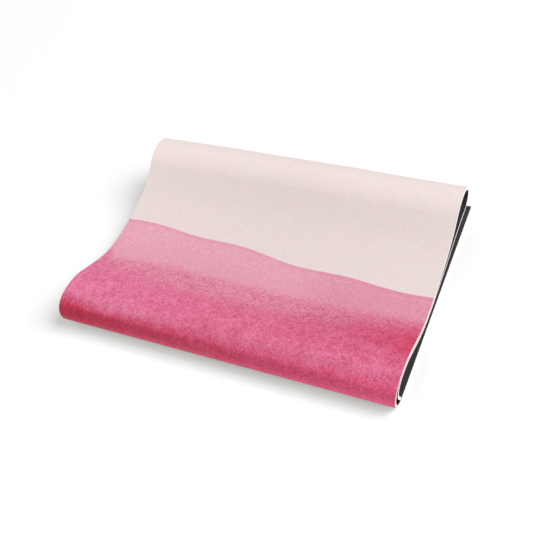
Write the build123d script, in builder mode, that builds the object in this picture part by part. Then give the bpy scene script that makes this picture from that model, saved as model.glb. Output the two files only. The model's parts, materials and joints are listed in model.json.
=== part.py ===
"""Thin printed exercise mat, folded in three for storage.

+X runs along the folds, +Y to the back, +Z up. The origin is at the centre of the
base of the folded mat's bounding box. The mat is one long strip: its bottom panel lies on the
floor, the front fold turns up into the top panel, and the back fold turns down
into the inner panel, whose free end is tucked into the front fold.
Three bonded plies run through the whole mat: printed cover, foam core, grippy backing.
"""
from build123d import *
from math import cos, radians, sin, tan
import os

os.makedirs("parts", exist_ok=True)

# ---- driving dimensions, in millimetres and degrees ----
mat_width = 610.0
cover_thickness = 0.4
core_thickness = 4.7
backing_thickness = 0.4
mat_thickness = cover_thickness + core_thickness + backing_thickness
half = mat_thickness / 2
hinge_gap = 0.15  # each strip stops this far short of the bend line it turns about

# the valley of the top panel, where the fixed part of the mat ends at the front
valley_y = -84.0

# the fixed part, from the valley over the back fold to the inner panel: arc length, turn
top_panel_arcs = [(52.6, 4.4), (92.9, 13.4), (69.1, 24.3)]
back_fold_arcs = [(31.5, -22.0), (58.1, -72.9), (48.4, -126.9)]
inner_panel_arcs = [(71.2, 10.7), (196.0, -11.0)]

# the strips that open, from the valley round the front fold: turn before it, length
front_slope = (20.0, 96.5)
front_fold_turns = [20.0, 26.0, 26.0, 26.0, 26.0, 26.0, 25.0]
front_fold_lengths = [38.0, 20.5, 12.0, 11.0, 15.0, 15.7, 14.0]
bottom_panel = (25.0, 458.0)

# the same for the inner panel and its tucked end
inner_slope = (20.0, 96.5)
tuck_turns = [20.0, 27.0, 28.0, 27.0, 22.0, 19.0]
tuck_lengths = [31.0, 15.0, 10.0, 8.0, 9.0, 22.5]

# each ply's two faces, measured from the middle of the thickness towards the print
plies = {
    "cover": (half - cover_thickness, half),
    "core": (backing_thickness - half, half - cover_thickness),
    "backing": (-half, backing_thickness - half),
}


def step(point, heading, length, side=0.0):
    """The point a length along a heading and a distance to its left."""
    angle = radians(heading)
    return (
        point[0] + length * cos(angle) - side * sin(angle),
        point[1] + length * sin(angle) + side * cos(angle),
    )


def save(part, name):
    """Label a finished ply and write its file."""
    part.label = name
    export_step(part, f"parts/{name}.step")


def curved_plies(name, start, heading, arcs):
    """Three nested plies along a chain of tangent arcs, the print on the left.

    Returns the point and the heading at the end of the chain.
    """
    stations = [(start, heading)]
    for length, turn in arcs:
        chord = length * sin(radians(turn / 2)) / radians(turn / 2)
        end = step(stations[-1][0], stations[-1][1] + turn / 2, chord)
        half_chord = length / 2 * sin(radians(turn / 4)) / radians(turn / 4)
        middle = step(stations[-1][0], stations[-1][1] + turn / 4, half_chord)
        stations.append((middle, stations[-1][1] + turn / 2))
        stations.append((end, stations[-1][1] + turn / 2))
    for ply, (low, high) in plies.items():
        inside = [step(point, angle, 0, low) for point, angle in stations]
        outside = [step(point, angle, 0, high) for point, angle in stations]
        with BuildPart() as curved_ply:
            with BuildSketch(Plane.YZ):
                with BuildLine():
                    for i in range(0, len(stations) - 1, 2):
                        ThreePointArc(inside[i], inside[i + 1], inside[i + 2])
                        ThreePointArc(outside[i], outside[i + 1], outside[i + 2])
                    Line(inside[0], outside[0])
                    Line(inside[-1], outside[-1])
                make_face()
            extrude(amount=mat_width / 2, both=True)
        save(curved_ply.part, f"{name}_{ply}")
    return stations[-1]


def strip_plies(name, start, heading, length, turns, print_side):
    """Three flat plies between two bend lines.

    turns holds the bend at each end. Past the middle of the thickness, on the side
    that a bend closes, the end leans back by half the bend, so that neighbouring
    strips meet in a mitre when folded and lie end to end when flat.
    """

    def setback(level, turn):
        """How far the end stands off the bend line at a height in the thickness."""
        closing = max(level * turn, 0.0) / max(abs(turn), 1e-9)
        return hinge_gap + closing * tan(radians(abs(turn) / 2))

    for ply, faces in plies.items():
        levels = [print_side * face for face in faces]
        if min(levels) < 0 < max(levels):
            levels.insert(1, 0.0)
        near_end = [step(start, heading, setback(v, turns[0]), v) for v in levels]
        far_end = [step(start, heading, length - setback(v, turns[1]), v) for v in levels]
        with BuildPart() as flat_ply:
            with BuildSketch(Plane.YZ):
                with BuildLine():
                    Polyline(*near_end, *reversed(far_end), close=True)
                make_face()
            extrude(amount=mat_width / 2, both=True)
        save(flat_ply.part, f"{name}_{ply}")


def strip_chain(names, start, heading, turns, lengths, print_side):
    """A row of strips, each turned from the one before it about a bend line.

    The first strip leans back by its whole bend, because the fixed part ends square.
    """
    bends = [2 * turns[0]] + turns[1:] + [0.0]
    for i, name in enumerate(names):
        heading += turns[i]
        strip_plies(name, start, heading, lengths[i], (bends[i], bends[i + 1]), print_side)
        print(f"{name}: bend at y {start[0]:.3f} z {start[1]:.3f} turn {turns[i]}")
        start = step(start, heading, lengths[i])
    print(f"  chain ends at y {start[0]:.3f} z {start[1]:.3f} heading {heading:.1f}")


# the front strips, walking forward from the valley, where every bend turns left and
# the print is on the right; the valley is as high as they need to reach the floor
front_turns = [-front_slope[0]] + front_fold_turns + [bottom_panel[0]]
front_lengths = [front_slope[1]] + front_fold_lengths + [bottom_panel[1]]
front_headings = [180.0 + sum(front_turns[: i + 1]) for i in range(len(front_turns))]
front_rise = sum(length * sin(radians(h)) for length, h in zip(front_lengths, front_headings))
valley = (valley_y, half - front_rise)

# ---- fixed part: top panel, back fold and inner panel ----
first_station = step(valley, 0, hinge_gap)
crest, crest_heading = curved_plies("top_panel", first_station, 0.0, top_panel_arcs)
nape, nape_heading = curved_plies("back_fold", crest, crest_heading, back_fold_arcs)
inner_end, inner_heading = curved_plies("inner_panel", nape, nape_heading, inner_panel_arcs)
inner_bend = step(inner_end, inner_heading, hinge_gap)

# ---- front slope, front fold and bottom panel ----
front_names = ["top_panel_front"]
front_names += [f"front_fold_{n}" for n in range(1, len(front_fold_lengths) + 1)]
front_names += ["bottom_panel"]
strip_chain(front_names, valley, 180.0, front_turns, front_lengths, -1)

# ---- inner panel's front slope and its tucked end ----
inner_names = ["inner_panel_front"]
inner_names += [f"tucked_end_{n}" for n in range(1, len(tuck_lengths) + 1)]
strip_chain(
    inner_names,
    inner_bend,
    180.0,
    [-inner_slope[0]] + tuck_turns,
    [inner_slope[1]] + tuck_lengths,
    1,
)
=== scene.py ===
"""A thin printed exercise mat folded in three: how it looks, on the CAD frame.

The mat is one long strip of three bonded plies. Its line is walked once, from the bottom
panel's free end, round the front fold, over the top panel, round the back fold and along
the inner panel to the end tucked in the front fold. Each ply is cut across that line into
pieces: a flat or curved length that rides on one CAD body, or a short bent length between
two bodies, which rides on neither. All lengths are in metres.
"""

import json
from math import cos, pi, radians, sin

import bpy
import numpy as np
from mathutils import Matrix, Vector


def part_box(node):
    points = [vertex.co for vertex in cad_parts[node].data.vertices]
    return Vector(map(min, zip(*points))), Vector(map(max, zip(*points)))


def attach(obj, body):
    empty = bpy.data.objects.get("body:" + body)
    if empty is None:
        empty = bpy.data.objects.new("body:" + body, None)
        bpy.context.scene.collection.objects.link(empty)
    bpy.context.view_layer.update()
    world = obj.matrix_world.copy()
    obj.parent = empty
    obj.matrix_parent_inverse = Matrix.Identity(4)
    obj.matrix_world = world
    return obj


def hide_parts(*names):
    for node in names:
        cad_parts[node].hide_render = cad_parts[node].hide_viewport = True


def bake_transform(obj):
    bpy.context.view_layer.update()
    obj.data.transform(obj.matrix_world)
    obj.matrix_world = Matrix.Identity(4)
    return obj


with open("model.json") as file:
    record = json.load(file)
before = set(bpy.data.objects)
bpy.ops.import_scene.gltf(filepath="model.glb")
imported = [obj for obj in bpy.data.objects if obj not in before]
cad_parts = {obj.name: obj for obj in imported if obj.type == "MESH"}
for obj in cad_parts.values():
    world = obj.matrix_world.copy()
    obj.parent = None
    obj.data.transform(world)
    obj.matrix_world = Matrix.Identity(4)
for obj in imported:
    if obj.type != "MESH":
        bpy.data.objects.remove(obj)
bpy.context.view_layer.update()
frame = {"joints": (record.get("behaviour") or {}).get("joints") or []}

# ---------------------------------------------------------------- sizes of the mat
HALF_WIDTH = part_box("top_panel_core")[1].x
COVER, CORE, BACKING = 0.0004, 0.0047, 0.0004
HALF = (COVER + CORE + BACKING) / 2
PLIES = {
    "cover": (HALF - COVER, HALF),
    "foam": (BACKING - HALF, HALF - COVER),
    "rubber": (-HALF, BACKING - HALF),
}
CAD_PLY = {"cover": "cover", "foam": "core", "rubber": "backing"}  # CAD node names

# the fixed part behind the valley, as arcs: length, turn in degrees
TOP_PANEL = [(0.0526, 4.4), (0.0929, 13.4), (0.0691, 24.3)]
BACK_FOLD = [(0.0315, -22.0), (0.0581, -72.9), (0.0484, -126.9)]
INNER_PANEL = [(0.0712, 10.7), (0.1960, -11.0)]
HINGE_GAP = 0.00015  # from the valley's bend line to the start of the fixed part
TUCKED_LENGTH, TUCKED_HEADING = 0.0225, 303.0  # the last length of the tucked end

# how far a bend spreads into the straight length beside it
VALLEY_REACH = 0.034
BOTTOM_REACH = 0.010
FRONT_SLOPE_REACH = 0.016
INNER_SLOPE_REACH = 0.013
TUCKED_REACH = 0.005
VALLEY_HANDLE = 0.34  # a valley curve's handles, as a share of its span

# distance between rows of points
BEND_STEP, FOLD_STEP, VALLEY_STEP, TOP_STEP, SLOPE_STEP, FLAT_STEP = (
    0.0014, 0.0022, 0.003, 0.0034, 0.005, 0.006
)
MAX_ARC_TURN = 5  # degrees between two rows on an arc

# points across the mat, and the rounded or rough edges of the plies
MIDDLE_COLUMNS, EDGE_ZONE = 41, 0.002
EDGE_ROUND = 0.0009
EDGE_COLUMNS = (0.0, 0.00012, 0.0004, EDGE_ROUND)
EDGE_DROP = {"cover": 0.00025, "foam": 0.0, "rubber": 0.00020}
CUT_DEPTH = 0.00022
CUT_WAVE = ((0.00012, 0.15), (0.00022, 0.5), (0.00012, 0.85))  # outwards, share of the thickness

BLEND_INSET = 1.04  # keeps a bend's two end points clear of the slanted end faces

joints = {j["name"]: j for j in frame["joints"]}


def bend_point(name):
    """A joint's place in the mat's section, as (y, z)."""
    return np.array(joints[name]["pos_m"][1:])


def along(heading):
    """The unit vector of a heading in degrees."""
    return np.array([cos(radians(heading)), sin(radians(heading))])


# ---------------------------------------------------------------- the mat's line
def straight(start, end, step):
    """Points from start to end."""
    count = max(2, int(np.linalg.norm(end - start) / step) + 1)
    return start + np.linspace(0, 1, count)[:, None] * (end - start)


def curve(start, first, second, end, step):
    """Points on a cubic curve with two handles."""
    length = sum(np.linalg.norm(b - a) for a, b in ((start, first), (first, second), (second, end)))
    t = np.linspace(0, 1, max(5, int(length / step) + 1))[:, None]
    return (
        (1 - t) ** 3 * start
        + 3 * (1 - t) ** 2 * t * first
        + 3 * (1 - t) * t**2 * second
        + t**3 * end
    )


def bend(start, corner, end):
    """Points on a smooth bend that touches both lines through a corner."""
    return curve(start, start + (corner - start) * 2 / 3, end + (corner - end) * 2 / 3, end, BEND_STEP)


def arc_points(start, heading, arcs, step):
    """Points and headings along a chain of tangent arcs."""
    points, headings = [np.array(start)], [heading]
    for length, turn in arcs:
        count = max(2, int(max(length / step, abs(turn) / MAX_ARC_TURN)) + 1)
        for _ in range(count):
            part = turn / count
            chord = length / count * sin(radians(part / 2)) / radians(part / 2)
            points.append(points[-1] + along(headings[-1] + part / 2) * chord)
            headings.append(headings[-1] + part)
    return np.array(points), np.array(headings)


free_end = np.array([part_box("bottom_panel_core")[1].y, HALF])
front = ["front_fold_open"] + [f"front_fold_{n}_bend" for n in range(7, 0, -1)]
front_bodies = ["bottom_panel"] + [f"front_fold_{n}" for n in range(7, 0, -1)] + ["top_panel_front"]
tuck = [f"tucked_end_{n}_bend" for n in range(1, 7)]
tuck_bodies = ["inner_panel_front"] + [f"tucked_end_{n}" for n in range(1, 7)]
valley, inner_valley = bend_point("top_panel_front_bend"), bend_point("inner_panel_front_bend")

corners = [bend_point(name) for name in front] + [valley]
lengths = []  # one dict for each length: its name, points, bodies and CAD nodes


def add(name, points, bodies, nodes):
    """Put one length of the mat after the last one."""
    lengths.append({"name": name, "points": points, "bodies": bodies, "nodes": nodes})


# bottom panel, then the front fold
turn_in = corners[0] + np.array([BOTTOM_REACH, 0.0])
add("bottom_panel", straight(free_end, turn_in, FLAT_STEP), ["bottom_panel"], ["bottom_panel"])
begin = turn_in
for i, name in enumerate(front):
    here, after = corners[i], corners[i + 1]
    if i < len(front) - 1:
        end = (here + after) / 2
    else:
        end = here + (after - here) / np.linalg.norm(after - here) * FRONT_SLOPE_REACH
    node = front_bodies[i + 1]
    add(f"front_fold_bend_{i + 1}", bend(begin, here, end), [front_bodies[i], node], [node])
    begin = end

# front slope of the top panel, and the valley
slope = (valley - corners[-2]) / np.linalg.norm(valley - corners[-2])
end = valley - slope * VALLEY_REACH
nodes = ["top_panel_front"]
add("top_panel_front", straight(begin, end, SLOPE_STEP), ["top_panel_front"], nodes)
fixed_start = valley + np.array([HINGE_GAP, 0.0])
root, root_heading = arc_points(fixed_start, 0.0, TOP_PANEL, TOP_STEP)
cut = int(np.searchsorted(root[:, 0], valley[0] + VALLEY_REACH))
handle = VALLEY_HANDLE * np.linalg.norm(root[cut] - end)
second = root[cut] - along(root_heading[cut]) * handle
points = curve(end, end + slope * handle, second, root[cut], VALLEY_STEP)
add("top_valley", points, ["top_panel_front", "mat_middle"], nodes)

# the fixed part
add("top_panel", root[cut:], ["mat_middle"], ["top_panel"])
fold, fold_heading = arc_points(root[-1], root_heading[-1], BACK_FOLD, FOLD_STEP)
add("back_fold", fold, ["mat_middle"], ["back_fold"])
inner, inner_heading = arc_points(fold[-1], fold_heading[-1], INNER_PANEL, SLOPE_STEP)
stop = int(np.searchsorted(-inner[:, 0], -(inner_valley[0] + VALLEY_REACH)))
add("inner_panel", inner[: stop + 1], ["mat_middle"], ["inner_panel"])

# the inner panel's front slope and its tucked end
slope = bend_point(tuck[0]) - inner_valley
slope /= np.linalg.norm(slope)
end = inner_valley + slope * VALLEY_REACH
handle = VALLEY_HANDLE * np.linalg.norm(end - inner[stop])
first = inner[stop] + along(inner_heading[stop]) * handle
points = curve(inner[stop], first, end - slope * handle, end, VALLEY_STEP)
nodes = ["inner_panel_front"]
add("inner_valley", points, ["mat_middle", "inner_panel_front"], nodes)
begin = bend_point(tuck[0]) - slope * INNER_SLOPE_REACH
add("inner_panel_front", straight(end, begin, SLOPE_STEP), ["inner_panel_front"], nodes)
tucked_end = bend_point(tuck[-1]) + along(TUCKED_HEADING) * TUCKED_LENGTH
for i, name in enumerate(tuck):
    here = bend_point(name)
    if i < len(tuck) - 1:
        end = (here + bend_point(tuck[i + 1])) / 2
    else:
        end = here + along(TUCKED_HEADING) * TUCKED_REACH
    node = tuck_bodies[i + 1]
    add(f"tucked_end_bend_{i + 1}", bend(begin, here, end), [tuck_bodies[i], node], [node])
    begin = end
nodes = [tuck_bodies[-1]]
add("tucked_end", straight(begin, tucked_end, VALLEY_STEP), [tuck_bodies[-1]], nodes)

# one row of points for the whole mat, with each length's first and last row
rows, first_row = [lengths[0]["points"]], 0
for item in lengths:
    if item is not lengths[0]:
        rows.append(item["points"][1:])
    item["rows"] = (first_row, first_row + len(item["points"]) - 1)
    first_row = item["rows"][1]
line = np.concatenate(rows)
steps = np.diff(line, axis=0)
gaps = np.linalg.norm(steps, axis=1)
place = np.concatenate([[0.0], np.cumsum(gaps)])  # distance along the mat

# each row's heading: the steps before and after it, the shorter step counting more
gap_in, gap_out = np.r_[gaps[0], gaps][:, None], np.r_[gaps, gaps[-1]][:, None]
step_in, step_out = np.vstack([steps[:1], steps]) / gap_in, np.vstack([steps, steps[-1:]]) / gap_out
heading = step_in * gap_out + step_out * gap_in
heading /= np.linalg.norm(heading, axis=1)[:, None]
print_side = np.column_stack([-heading[:, 1], heading[:, 0]])  # the printed face is on the left
top_row = next(item["rows"][0] for item in lengths if item["name"] == "top_panel")
valley_place = float(place[top_row] - VALLEY_REACH)


# ---------------------------------------------------------------- the mat's own unevenness
TALL = 0.107


def settle(points):
    """Bend the whole mat very slightly, the same way for every ply, as real foam lies."""
    x, y, z = points[..., 0], points[..., 1], points[..., 2]
    lift = np.clip(z / TALL, 0, 1)  # none on the floor, most at the top
    wave = 0.0007 * np.sin(11.0 * x + 7.0 * y + 0.6) + 0.0005 * np.sin(23.0 * x - 13.0 * y + 2.1)
    out = points.copy()
    out[..., 2] = z + lift * wave + lift**3 * (0.0008 - 0.0014 * x)  # the top is higher at the left
    out[..., 1] = y + lift * 0.0006 * np.sin(9.0 * x + 1.3)
    return out


# ---------------------------------------------------------------- ply meshes
def columns():
    """Places across the mat, close together at the rounded edges."""
    middle = np.linspace(-HALF_WIDTH + EDGE_ZONE, HALF_WIDTH - EDGE_ZONE, MIDDLE_COLUMNS)
    edge = np.array(EDGE_COLUMNS)
    return np.concatenate([-HALF_WIDTH + edge, middle, (HALF_WIDTH - edge)[::-1]])


def ply_ring(ply):
    """The outline across one ply, print side first: its points, groups of faces and counts."""
    under, over = PLIES[ply]
    across = columns()
    from_edge = np.minimum((HALF_WIDTH - np.abs(across)) / EDGE_ROUND, 1.0)
    drop = EDGE_DROP[ply] * (1 - np.sqrt(1 - (1 - from_edge) ** 2))
    level = np.zeros_like(across)
    top = level + over - (drop if ply == "cover" else 0.0)
    bottom = level + under + (drop if ply == "rubber" else 0.0)
    side = CUT_WAVE if ply == "foam" else ()  # a knife-cut foam edge is not quite flat
    ring = list(zip(across, top))
    ring += [(HALF_WIDTH - CUT_DEPTH + out, over + (under - over) * t) for out, t in side]
    ring += list(zip(across[::-1], bottom[::-1]))
    ring += [(-HALF_WIDTH + CUT_DEPTH - out, under + (over - under) * t) for out, t in side]
    count, sides = len(across), len(side)
    groups = [0] * (count - 1) + [1] * (sides + 1) + [2] * (count - 1) + [3] * (sides + 1)
    return np.array(ring), np.array(groups), count, sides


def ply_surface(ply):
    """Every row of a ply's outline in space, settled, and the normals of its faces' corners.

    The normals are worked out over the whole mat, so no seam shows between two lengths.
    """
    ring, groups, count, sides = ply_ring(ply)
    x, level = ring[:, 0], ring[:, 1]
    grid = np.empty((len(line), len(ring), 3))
    grid[..., 0] = x[None, :]
    grid[..., 1] = line[:, None, 0] + print_side[:, None, 0] * level[None, :]
    grid[..., 2] = line[:, None, 1] + print_side[:, None, 1] * level[None, :]
    grid = settle(grid)
    back = np.vstack([grid[1:2] - grid[0:1], grid[1:] - grid[:-1]])
    ahead = np.vstack([grid[1:] - grid[:-1], grid[-1:] - grid[-2:-1]])
    size_back = np.linalg.norm(back, axis=2, keepdims=True)
    size_ahead = np.linalg.norm(ahead, axis=2, keepdims=True)
    row_way = back / size_back * size_ahead + ahead / size_ahead * size_back
    around = np.roll(grid, -1, axis=1) - grid  # from each ring point to the next one
    normals = {}
    total = len(ring)
    for m in range(total):
        for end in (0, 1):
            v = (m + end) % total
            before = around[:, (v - 1) % total]
            after = around[:, v]
            ring_way = np.zeros_like(before)
            if groups[(v - 1) % total] == groups[m]:
                ring_way = ring_way + before / np.linalg.norm(before, axis=1, keepdims=True)
            if groups[v] == groups[m]:
                ring_way = ring_way + after / np.linalg.norm(after, axis=1, keepdims=True)
            n = np.cross(ring_way, row_way[:, v])
            normals[m, end] = n / np.linalg.norm(n, axis=1, keepdims=True)
    return grid, normals, count, sides


def ply_piece(ply, item, surface):
    """One closed length of a ply, with its place on the flat mat as its UV."""
    grid, normals, count, sides = surface
    first, last = item["rows"]
    total = grid.shape[1]
    n_rows = last - first + 1
    verts = grid[first : last + 1].reshape(-1, 3)
    faces, uvs, loop_normals = [], [], []
    across = grid[0, :, 0]

    def corner(row, m, normal):
        uvs.append((across[m], place[first + row]))
        loop_normals.append(normal)

    for r in range(n_rows - 1):
        for m in range(total):
            k = (m + 1) % total
            faces.append((r * total + m, r * total + k, (r + 1) * total + k, (r + 1) * total + m))
            corner(r, m, normals[m, 0][first + r])
            corner(r, k, normals[m, 1][first + r])
            corner(r + 1, k, normals[m, 1][first + r + 1])
            corner(r + 1, m, normals[m, 0][first + r + 1])
    for row, way in ((0, -1), (n_rows - 1, 1)):  # the two end faces, in strips
        normal = np.array([0.0, *(heading[first + row] * way)])
        for i in range(count - 1):
            bottom = 2 * count + sides - 1
            cell = [i, i + 1, bottom - i - 1, bottom - i]
            if i == count - 2:
                cell = [i, i + 1, *range(count, count + sides), bottom - i - 1, bottom - i]
            if i == 0:
                cell = cell + list(range(2 * count + sides, total))
            if way < 0:
                cell = cell[::-1]
            faces.append(tuple(row * total + m for m in cell))
            for m in cell:
                corner(row, m, normal)
    mesh = bpy.data.meshes.new(f"{ply}.{item['name']}")
    mesh.from_pydata(verts.tolist(), [], faces)
    mesh.polygons.foreach_set("use_smooth", [True] * len(mesh.polygons))
    layer = mesh.uv_layers.new(name="flat_mat")
    layer.data.foreach_set("uv", np.array(uvs, dtype=np.float32).ravel())
    mesh.update()
    mesh.normals_split_custom_set([tuple(n) for n in loop_normals])
    piece = bpy.data.objects.new(f"{ply}.{item['name']}", mesh)
    bpy.context.scene.collection.objects.link(piece)
    return piece


# ---------------------------------------------------------------- node helpers
class Nodes:
    """Short calls for building one material's nodes."""

    def __init__(self, name):
        self.material = bpy.data.materials.new(name)
        self.material.use_nodes = True
        self.tree = self.material.node_tree
        self.tree.nodes.clear()
        self.shader = self.tree.nodes.new("ShaderNodeBsdfPrincipled")
        output = self.tree.nodes.new("ShaderNodeOutputMaterial")
        self.tree.links.new(self.shader.outputs[0], output.inputs["Surface"])
        uv = self.tree.nodes.new("ShaderNodeUVMap")
        uv.uv_map = "flat_mat"
        self.flat = uv.outputs[0]
        parts = self.tree.nodes.new("ShaderNodeSeparateXYZ")
        self.tree.links.new(self.flat, parts.inputs[0])
        self.x, self.v = parts.outputs[0], parts.outputs[1]

    def put(self, socket, value):
        """Link a socket or set its number."""
        if isinstance(value, bpy.types.NodeSocket):
            self.tree.links.new(value, socket)
        else:
            socket.default_value = value

    def math(self, operation, a, b=0.0, c=0.0):
        """One sum on sockets or numbers."""
        node = self.tree.nodes.new("ShaderNodeMath")
        node.operation = operation
        for socket, value in zip(node.inputs, (a, b, c)):
            self.put(socket, value)
        return node.outputs[0]

    def add(self, *values):
        """The sum of sockets or numbers."""
        total = values[0]
        for value in values[1:]:
            total = self.math("ADD", total, value)
        return total

    def minus(self, a, b):
        """The difference of two sockets or numbers."""
        return self.math("SUBTRACT", a, b)

    def times(self, a, b):
        """The product of two sockets or numbers."""
        return self.math("MULTIPLY", a, b)

    def fit(self, value, gain, level):
        """A value multiplied by a gain, plus a level."""
        return self.math("MULTIPLY_ADD", value, gain, level)

    def wave(self, angle_per_metre, shift, size):
        """A sine across the mat."""
        return self.times(self.math("SINE", self.fit(self.x, angle_per_metre, shift)), size)

    def ramp(self, value, start, end, smooth=True):
        """0 to 1 as value goes from start to end."""
        node = self.tree.nodes.new("ShaderNodeMapRange")
        node.interpolation_type = "SMOOTHERSTEP" if smooth else "LINEAR"
        self.put(node.inputs["Value"], value)
        self.put(node.inputs["From Min"], start)
        self.put(node.inputs["From Max"], end)
        return node.outputs[0]

    def noise(self, scale, detail, rough, shift, lengthwise=1.0, warp=0.0):
        """Fractal noise about 0, from about -1 to 1, with scale in bumps per metre."""
        node = self.tree.nodes.new("ShaderNodeTexNoise")
        mapping = self.tree.nodes.new("ShaderNodeMapping")
        self.tree.links.new(self.flat, mapping.inputs["Vector"])
        mapping.inputs["Scale"].default_value = (1.0, lengthwise, 1.0)
        mapping.inputs["Location"].default_value = (shift, shift * 0.7, shift * 1.3)
        self.tree.links.new(mapping.outputs[0], node.inputs["Vector"])
        node.inputs["Scale"].default_value = scale
        node.inputs["Detail"].default_value = detail
        node.inputs["Roughness"].default_value = rough
        node.inputs["Distortion"].default_value = warp
        return self.fit(node.outputs[0], 2.0, -1.0)

    def mix(self, share, a, b):
        """Colour a, or b where share is 1."""
        node = self.tree.nodes.new("ShaderNodeMix")
        node.data_type = "RGBA"
        self.put(node.inputs[0], share)
        self.put(node.inputs[6], a)
        self.put(node.inputs[7], b)
        return node.outputs[2]

    def scaled(self, colour, share):
        """A colour made lighter or darker."""
        node = self.tree.nodes.new("ShaderNodeVectorMath")
        node.operation = "SCALE"
        self.put(node.inputs[0], colour)
        self.put(node.inputs["Scale"], share)
        return node.outputs[0]

    def bump(self, height, distance, strength, normal=None):
        """A bump on top of the one given."""
        node = self.tree.nodes.new("ShaderNodeBump")
        node.inputs["Strength"].default_value = strength
        node.inputs["Distance"].default_value = distance
        self.put(node.inputs["Height"], height)
        if normal is not None:
            self.tree.links.new(normal, node.inputs["Normal"])
        return node.outputs[0]


def srgb(red, green, blue):
    """A colour given as it looks on a screen, 0 to 255."""
    linear = [
        c / 12.92 if c <= 0.04045 else ((c + 0.055) / 1.055) ** 2.4
        for c in (red / 255, green / 255, blue / 255)
    ]
    return (*linear, 1.0)


# ---------------------------------------------------------------- printed suede cover
CREAM = srgb(222, 206, 204)
CREAM_COOL = srgb(219, 206, 202)
LIGHT_PINK = srgb(218, 157, 174)
EDGE_PINK = srgb(214, 136, 158)
MID_PINK = srgb(213, 127, 153)
DEEP_PINK = srgb(211, 104, 138)
DEEP_PINK_LEFT = srgb(214, 111, 145)
# the nose colours hold painted shade as well as the deep wash, more of it at the left
NOSE_ROSE_AND_SHADE = srgb(193, 50, 78)
NOSE_ROSE_AND_SHADE_RIGHT = srgb(226, 89, 127)
POOL_PINK = srgb(205, 74, 107)
PALE_RIM_COLOUR = srgb(236, 224, 222)

# where the cream stops and the other bands start, as distance behind the valley in metres
CREAM_AT, MID_AT, DEEP_AT, THIN_AT, PALE_AT = 0.0722, -0.002, -0.060, -0.33, -0.50
CREAM_SLANT, MID_SLANT, DEEP_SLANT, DEEP_CURVE = -0.0507, 0.026, 0.01, 0.45  # change across the mat
RIPPLE, MID_RIPPLE, FINE_RIPPLE = 10.3, 10.47, 30.9  # waves of the bands, radians per metre
NOSE_FROM, NOSE_FULL, NOSE_FADES, NOSE_ENDS = -0.136, -0.168, -0.176, -0.202
PALE_RIM_WIDTH = 0.0012  # width of the paler rim along the cut edges

# red, green and blue: how much the pooled pigment, the specks with their painted glint and the right end
# change them
PIGMENT = ((0.16, 0.34, -0.05), (0.62, 1.60, -0.17), (0.42, 0.98, -0.12))


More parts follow.
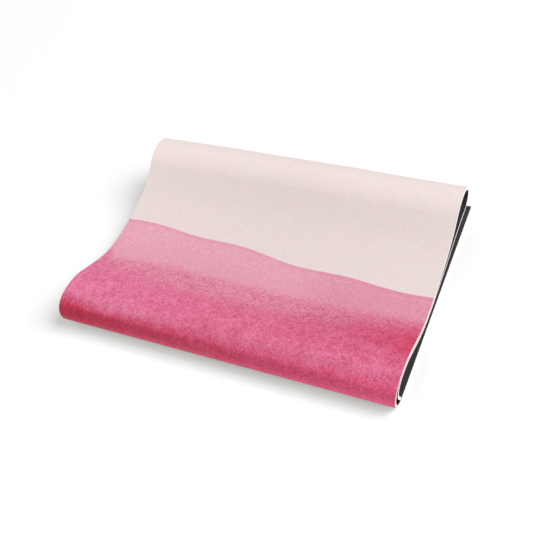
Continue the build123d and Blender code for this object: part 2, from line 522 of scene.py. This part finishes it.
def printed_cover():
    """Suede-like fabric with a hand-painted wash of broad pink bands across the mat."""
    n = Nodes("printed_suede_cover")
    s = n.minus(n.v, valley_place)  # distance behind the valley
    x_squared = n.times(n.x, n.x)
    broad = n.noise(5.0, 2.0, 0.5, lengthwise=1.6, shift=3.1)
    blot = n.noise(24.0, 4.0, 0.62, lengthwise=1.4, shift=8.7)
    pools = n.noise(52.0, 3.0, 0.6, lengthwise=1.3, warp=0.4, shift=12.5)
    small = n.noise(120.0, 3.0, 0.65, shift=1.9)
    grain = n.noise(330.0, 3.0, 0.7, shift=5.3)
    fibre = n.noise(1100.0, 2.0, 0.6, shift=2.2)

    # the crisp wet edge between the cream and the pink
    edge = n.add(
        CREAM_AT,
        n.times(n.x, CREAM_SLANT),
        n.wave(RIPPLE, 0.0, -0.005),
        n.wave(FINE_RIPPLE, 0.0, -0.0028),
        n.wave(RIPPLE, pi / 2, -0.0015),
        n.times(blot, 0.0010),
        n.times(small, 0.0006),
        n.times(grain, 0.0005),
    )
    past = n.minus(s, edge)
    cream_share = n.ramp(past, -0.0011, 0.0009)
    wet_line = n.times(n.ramp(past, -0.0120, -0.0012), n.ramp(past, 0.0008, -0.0006))

    # the softer steps further forward, which blot into each other
    rough_edge = n.add(
        n.times(blot, 0.014),
        n.times(pools, 0.012),
        n.times(small, 0.006),
        n.times(grain, 0.003),
    )
    mid = n.add(
        MID_AT,
        n.times(n.x, MID_SLANT),
        n.wave(MID_RIPPLE, 0.0, -0.004),
        n.times(n.ramp(n.x, -0.278, -0.303), 0.022),  # it rises at the left end
        n.times(broad, 0.006),
        rough_edge,
    )
    past_mid = n.minus(mid, s)
    mid_share = n.ramp(past_mid, -0.012, n.fit(n.ramp(n.x, -0.20, 0.02), 0.012, 0.013))
    deep = n.add(
        DEEP_AT,
        n.times(n.x, DEEP_SLANT),
        n.times(x_squared, DEEP_CURVE),
        n.times(broad, 0.010),
        n.times(rough_edge, 1.8),
    )
    deep_share = n.ramp(n.minus(deep, s), -0.025, 0.035)

    # the darkest wash, wrapped round the front fold, part print and part painted shade, darker at the
    # left; paler again underneath, partly the wash thinning and partly painted light bounced from the
    # floor
    sooner_left = n.times(n.ramp(n.x, -0.20, -0.29), -0.006)
    nose_in = n.ramp(n.add(s, n.times(rough_edge, 0.4), sooner_left), NOSE_FROM, NOSE_FULL)
    nose_share = n.times(nose_in, n.fit(n.ramp(s, NOSE_ENDS, NOSE_FADES), 0.25, 0.75))

    # what the folds hide: the wash thins out again over the bottom panel
    thin = n.add(THIN_AT, n.times(blot, 0.02), n.times(broad, 0.05))
    thin_share = n.ramp(n.minus(thin, s), -0.02, 0.05)
    pale = n.add(PALE_AT, n.times(blot, 0.004), n.times(broad, 0.03), n.times(small, 0.0006))
    pale_share = n.ramp(n.minus(pale, s), 0.0, 0.003)

    light = n.mix(n.times(n.ramp(past_mid, -0.075, -0.005), 0.22), LIGHT_PINK, MID_PINK)
    colour = n.mix(mid_share, light, MID_PINK)
    deepest = n.mix(n.ramp(n.x, -0.17, -0.04), DEEP_PINK_LEFT, DEEP_PINK)
    colour = n.mix(deep_share, colour, deepest)
    # the nose colour: deep wash with painted shade, darker at the left
    nose = n.mix(n.ramp(n.x, -0.28, 0.26, smooth=False), NOSE_ROSE_AND_SHADE, NOSE_ROSE_AND_SHADE_RIGHT)
    colour = n.mix(nose_share, colour, nose)
    colour = n.mix(thin_share, colour, MID_PINK)
    colour = n.mix(pale_share, colour, LIGHT_PINK)

    # a stronger pool of pigment towards the right of the front slope
    pool_x = n.ramp(n.add(n.x, n.times(rough_edge, 1.6)), 0.12, 0.28)
    pool_end = n.add(s, n.times(n.x, 0.3), -0.084)
    pool_s = n.times(n.ramp(n.add(s, rough_edge), 0.014, -0.062), n.ramp(pool_end, -0.112, -0.076))
    pool_depth = n.fit(n.ramp(n.x, 0.268, 0.304), 0.40, 0.62)
    colour = n.mix(n.times(n.times(pool_x, pool_s), pool_depth), colour, POOL_PINK)
    colour = n.mix(n.times(wet_line, 0.42), colour, EDGE_PINK)

    cream = n.mix(n.fit(blot, 0.8, 0.5), CREAM, CREAM_COOL)
    colour = n.mix(cream_share, colour, cream)

    # pigment settles in the nap: pooled and grainy in the pink, faint in the cream; the fine specks are
    # partly grain and partly painted glint of the fibres
    not_cream = n.minus(1.0, cream_share)
    settled = n.add(
        n.times(broad, 0.06),
        n.times(blot, 0.42),
        n.times(pools, 0.62),
        n.times(small, 0.78),
    )
    depth = n.times(n.times(settled, not_cream), n.fit(mid_share, 0.83, 0.17))
    speckle_and_glint = n.add(n.times(grain, 0.75), n.times(fibre, 0.75))
    specks_and_glint = n.times(n.times(speckle_and_glint, not_cream), n.fit(mid_share, 0.68, 0.32))
    faint = n.add(n.times(small, 0.06), n.times(grain, 0.24), n.times(fibre, 0.12), n.times(pools, 0.02))
    stronger_right = n.times(n.ramp(n.x, 0.03, 0.17), n.times(not_cream, n.ramp(s, -0.135, -0.100)))
    tint = n.tree.nodes.new("ShaderNodeCombineXYZ")
    for socket, (in_depth, in_specks, to_right) in zip(tint.inputs, PIGMENT):
        pigment = n.add(1.0, n.times(depth, in_depth), n.times(specks_and_glint, in_specks), n.times(faint, 0.55))
        n.put(socket, n.fit(stronger_right, to_right, pigment))
    mottled = n.tree.nodes.new("ShaderNodeVectorMath")
    mottled.operation = "MULTIPLY"
    n.put(mottled.inputs[0], colour)
    n.put(mottled.inputs[1], tint.outputs[0])

    # painted light and shade on the print: lighter towards the left, a painted highlight over the crest
    # and the back fold, a band of painted shade on the nose's front and deeper painted shade where the
    # nose turns under
    painted_shade_band = n.times(n.ramp(s, -0.126, -0.146), n.ramp(s, -0.178, -0.160))
    painted_shade_under_nose = n.times(n.ramp(s, -0.151, -0.166), n.ramp(s, -0.185, -0.170))
    painted_light_and_shade = n.add(
        1.015,
        n.times(n.x, -0.07),
        n.times(x_squared, 0.3),
        # painted highlight over the crest and the back fold
        n.times(n.ramp(s, 0.15, 0.24), 0.09),
        # painted shade on the nose's front, then deeper where it turns under
        n.times(painted_shade_band, -0.08),
        n.times(painted_shade_under_nose, -0.16),
    )
    colour = n.scaled(mottled.outputs[0], painted_light_and_shade)

    # the cover is a little paler along the cut edges
    from_edge = n.minus(HALF_WIDTH, n.math("ABSOLUTE", n.x))
    colour = n.mix(n.times(n.ramp(from_edge, PALE_RIM_WIDTH, 0.0), 0.5), colour, PALE_RIM_COLOUR)
    n.put(n.shader.inputs["Base Color"], colour)
    n.put(n.shader.inputs["Roughness"], n.fit(grain, 0.06, 0.86))
    n.shader.inputs["Specular IOR Level"].default_value = 0.2
    n.shader.inputs["Sheen Weight"].default_value = 0.08
    n.shader.inputs["Sheen Roughness"].default_value = 0.45
    first = n.bump(n.times(fibre, 0.5), 0.00022, 0.6)
    second = n.bump(n.times(grain, 0.5), 0.0006, 0.5, first)
    third = n.bump(n.times(small, 0.5), 0.0009, 0.3, second)
    n.tree.links.new(third, n.shader.inputs["Normal"])
    return n.material


# ---------------------------------------------------------------- white foam core
FOAM_WHITE, FOAM_SHADE = srgb(244, 242, 238), srgb(236, 231, 226)
CELLS_PER_METRE = 1500.0


def foam_core():
    """Closed-cell foam, bright where the knife cut it, with fine pores given painted shade."""
    n = Nodes("white_foam_core")
    cells = n.tree.nodes.new("ShaderNodeTexVoronoi")
    coords = n.tree.nodes.new("ShaderNodeTexCoord")
    n.tree.links.new(coords.outputs["Object"], cells.inputs["Vector"])
    cells.inputs["Scale"].default_value = CELLS_PER_METRE
    pores = n.ramp(cells.outputs["Distance"], 0.05, 0.55)
    patch = n.noise(60.0, 3.0, 0.6, shift=4.4)
    fine = n.noise(900.0, 2.0, 0.6, shift=7.7)
    colour = n.mix(n.fit(patch, 0.4, 0.4), FOAM_WHITE, FOAM_SHADE)
    # painted shade darkens the middle of each pore
    colour = n.scaled(colour, n.add(n.fit(pores, 0.10, 0.91), n.times(fine, 0.02)))
    n.put(n.shader.inputs["Base Color"], colour)
    n.put(n.shader.inputs["Roughness"], n.fit(fine, 0.05, 0.80))
    n.shader.inputs["Specular IOR Level"].default_value = 0.3
    n.tree.links.new(n.bump(pores, 0.00018, 0.7), n.shader.inputs["Normal"])
    return n.material


# ---------------------------------------------------------------- dark rubber underside
GROOVE_SHADE, RIDGE, DUST = srgb(35, 37, 39), srgb(56, 58, 60), srgb(88, 88, 87)
KNURL = 2200.0  # radians per metre across the diagonal ridges


def rubber_backing():
    """Charcoal rubber with a fine diagonal knurl whose grooves carry painted shade, dusty in places."""
    n = Nodes("charcoal_rubber_backing")
    one = n.math("SINE", n.times(n.add(n.x, n.v), KNURL))
    two = n.math("SINE", n.times(n.minus(n.x, n.v), KNURL))
    knurl = n.fit(n.times(one, two), 0.5, 0.5)
    patch = n.noise(14.0, 4.0, 0.6, shift=6.1)
    fine = n.noise(700.0, 3.0, 0.65, shift=9.4)
    dust = n.ramp(n.add(patch, n.times(fine, 0.4)), 0.05, 0.9)
    # painted shade: the knurl's grooves darker than its ridges
    colour = n.mix(n.times(knurl, 0.5), GROOVE_SHADE, RIDGE)
    colour = n.mix(n.times(dust, 0.22), colour, DUST)
    n.put(n.shader.inputs["Base Color"], colour)
    n.put(n.shader.inputs["Roughness"], n.add(0.62, n.times(dust, 0.2), n.times(fine, 0.06)))
    n.shader.inputs["Specular IOR Level"].default_value = 0.4
    first = n.bump(knurl, 0.00030, 0.8)
    n.tree.links.new(n.bump(fine, 0.00012, 0.5, first), n.shader.inputs["Normal"])
    return n.material


# ---------------------------------------------------------------- make every piece
materials = {"cover": printed_cover(), "foam": foam_core(), "rubber": rubber_backing()}
made = {}
for ply in PLIES:
    surface = ply_surface(ply)
    for item in lengths:
        piece = ply_piece(ply, item, surface)
        piece.data.materials.append(materials[ply])
        made[ply, item["name"]] = piece

for ply in PLIES:
    for item in lengths:
        name, bodies = item["name"], item["bodies"]
        piece = made[ply, name]
        first, last = item["rows"]
        if len(bodies) == 1:
            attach(piece, bodies[0])
        else:
            start, end = line[first], line[last]
            way = (end - start) / np.linalg.norm(end - start)
            slant = float(max(abs(way @ print_side[first]), abs(way @ print_side[last])))
            inset = BLEND_INSET * HALF * slant
            start, end = start + way * inset, end - way * inset
            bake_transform(piece)
        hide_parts(*[f"{node}_{CAD_PLY[ply]}" for node in item["nodes"]])
        piece.visible_diffuse = ply != "cover"  # the pink print casts no tint on the white floor

# ---------------------------------------------------------------- floor, light, camera
FLOOR_SIZE, FLOOR_HEIGHT, FLOOR_WHITE = 60.0, -0.0004, 0.955
OVERHEAD, SIDEWAYS, DARK_BACK = 0.88, 0.40, 0.38  # brightness of the sky's parts
KEY_AT, KEY_SIZE, KEY_WATTS = (5.7, 1.9, 7.4), 6.2, 605.0
CAMERA_AT = (0.4887, -0.8296, 0.9794)
PITCH, HEADING, ROLL = radians(49.295), radians(-31.132), radians(-11.056)
SENSOR, LENS, SHIFT_X, SHIFT_Y = 36.0, 49.96, -0.0193, 0.0910

bpy.ops.mesh.primitive_plane_add(size=FLOOR_SIZE, location=(0.0, 0.0, FLOOR_HEIGHT))
floor = bpy.context.object
floor.name = "floor"
paper = Nodes("floor_paper")
paper.shader.inputs["Base Color"].default_value = (FLOOR_WHITE, FLOOR_WHITE, FLOOR_WHITE, 1.0)
paper.shader.inputs["Roughness"].default_value = 0.9
paper.shader.inputs["Specular IOR Level"].default_value = 0.1
floor.data.materials.append(paper.material)

world = bpy.data.worlds.new("studio")
bpy.context.scene.world = world
world.use_nodes = True
sky = world.node_tree
sky_parts = sky.nodes.new("ShaderNodeSeparateXYZ")
sky.links.new(sky.nodes.new("ShaderNodeTexCoord").outputs["Generated"], sky_parts.inputs[0])
strength = sky.nodes.new("ShaderNodeMath")
strength.operation = "MULTIPLY"
for socket, part, *fade in (
    (0, sky_parts.outputs[2], 0.0, 0.75, SIDEWAYS, OVERHEAD),
    (1, sky_parts.outputs[1], -0.10, 0.75, 1.0, DARK_BACK),
):
    fading = sky.nodes.new("ShaderNodeMapRange")
    sky.links.new(part, fading.inputs["Value"])
    for limit, value in zip(("From Min", "From Max", "To Min", "To Max"), fade):
        fading.inputs[limit].default_value = value
    sky.links.new(fading.outputs[0], strength.inputs[socket])
sky.links.new(strength.outputs[0], sky.nodes["Background"].inputs["Strength"])
sky.nodes["Background"].inputs["Color"].default_value = (1.0, 1.0, 1.0, 1.0)


def softbox(name, place_at, aim, size, power):
    """A square area light that faces a point."""
    data = bpy.data.lights.new(name, "AREA")
    data.shape, data.size, data.energy = "SQUARE", size, power
    lamp = bpy.data.objects.new(name, data)
    bpy.context.scene.collection.objects.link(lamp)
    way = Vector(aim) - Vector(place_at)
    lamp.matrix_world = Matrix.Translation(place_at) @ way.to_track_quat("-Z", "Y").to_matrix().to_4x4()


softbox("key_right", KEY_AT, (0, 0, 0), KEY_SIZE, KEY_WATTS)

ahead = Vector((sin(HEADING) * cos(PITCH), cos(HEADING) * cos(PITCH), -sin(PITCH)))
right = Vector((cos(HEADING), -sin(HEADING), 0.0))
up = right.cross(ahead)
right, up = right * cos(ROLL) + up * sin(ROLL), up * cos(ROLL) - right * sin(ROLL)
view = bpy.data.cameras.new("camera")
view.sensor_width, view.lens = SENSOR, LENS
view.shift_x, view.shift_y = SHIFT_X, SHIFT_Y
camera = bpy.data.objects.new("camera", view)
bpy.context.scene.collection.objects.link(camera)
turned = Matrix((right, up, -ahead)).transposed().to_4x4()
camera.matrix_world = Matrix.Translation(CAMERA_AT) @ turned
bpy.context.scene.camera = camera
bpy.context.scene.view_settings.view_transform = "Standard"
